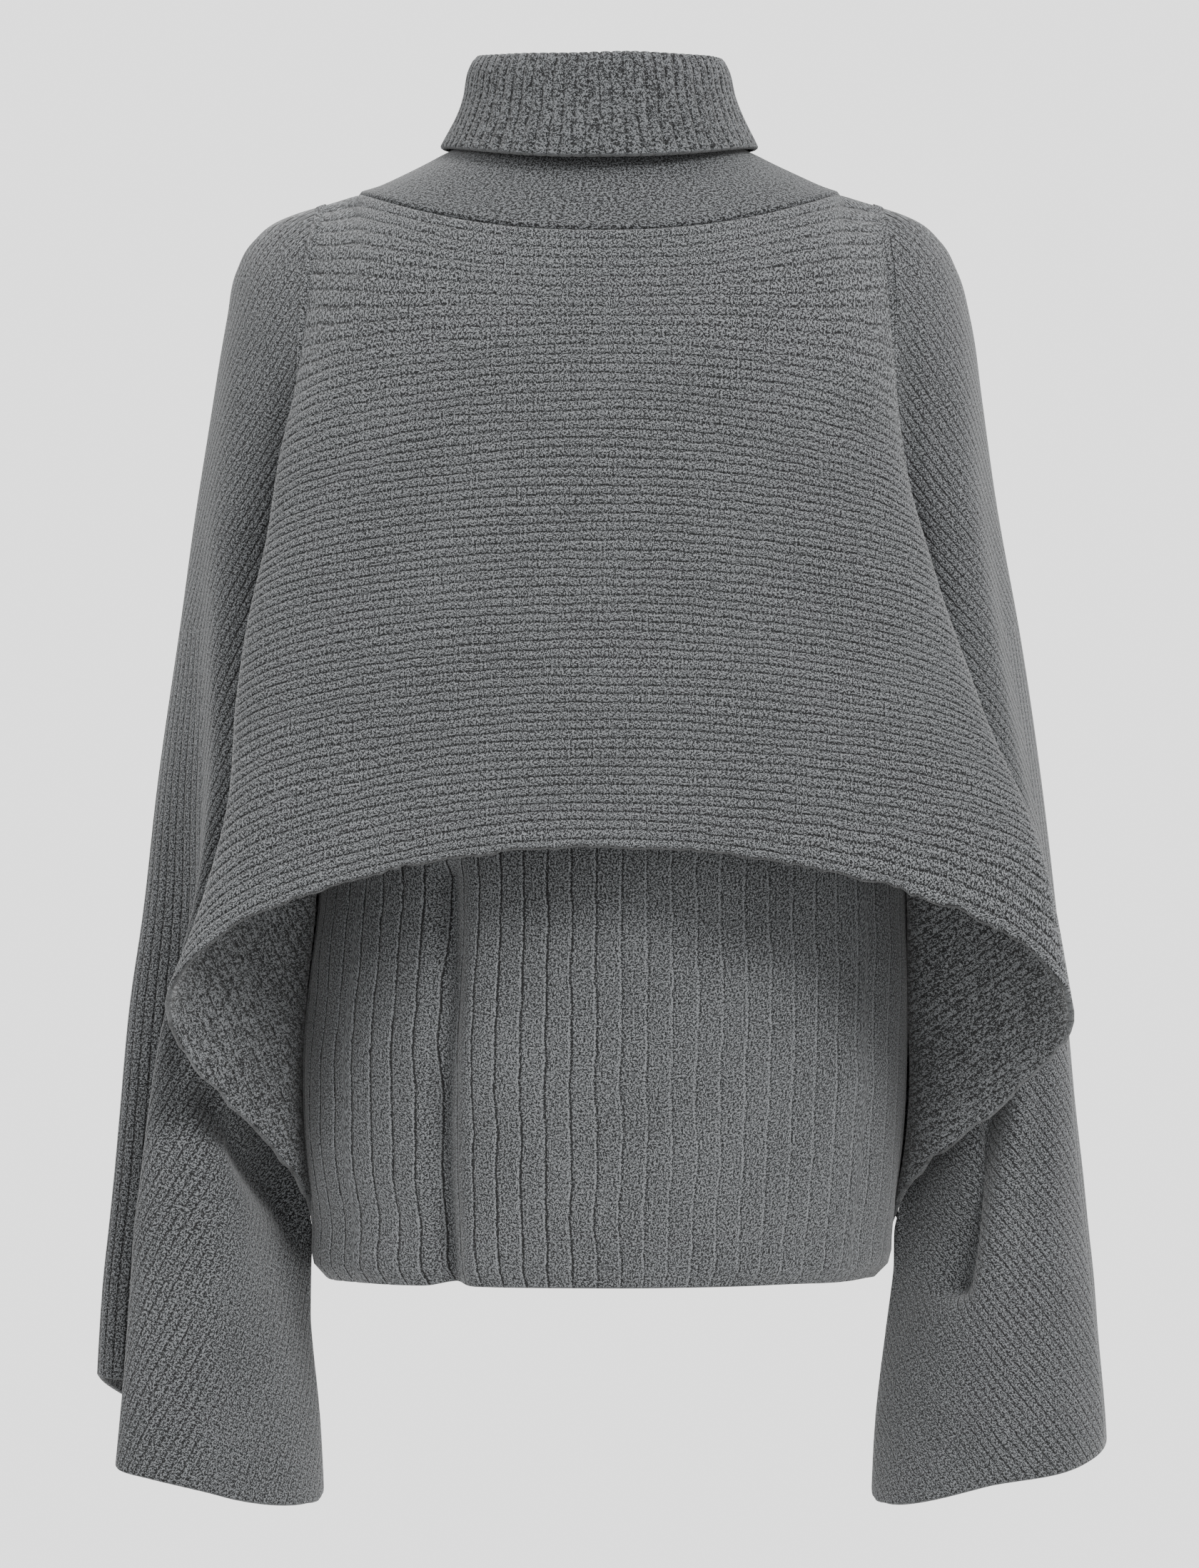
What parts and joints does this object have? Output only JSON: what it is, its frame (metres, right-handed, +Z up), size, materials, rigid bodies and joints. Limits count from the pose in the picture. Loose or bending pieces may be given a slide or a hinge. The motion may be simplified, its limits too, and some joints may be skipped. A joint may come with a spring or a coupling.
{
  "type": "oversized sweater",
  "caption": "Roll-neck cape sweater in rib knit, worn shape, with wide open sleeves hanging over a close sleeveless body.",
  "frame": {"origin": "where the garment rests on the wearer: midway between the tops of the shoulders, at the base of the neck", "axes": "+Z up through the neck opening, +X to the right of a viewer who looks at the front, -Y out of the front"},
  "size_m": [0.5821, 0.275, 0.8262],
  "materials": {
    "cape_front_knit": "matte wool rib knit",
    "cape_back_knit": "matte wool rib knit",
    "sleeve_left_knit": "matte wool rib knit",
    "sleeve_right_knit": "matte wool rib knit",
    "body_front_knit": "matte wool rib knit",
    "body_back_knit": "matte wool rib knit",
    "collar_knit": "matte wool rib knit"
  },
  "bodies": {
    "root": {"cape_front": "cape_front_knit", "cape_back": "cape_back_knit", "sleeve_left": "sleeve_left_knit", "sleeve_right": "sleeve_right_knit", "under_body_front": "body_front_knit", "under_body_back": "body_back_knit", "roll_collar": "collar_knit"}
  },
  "joints": []
}
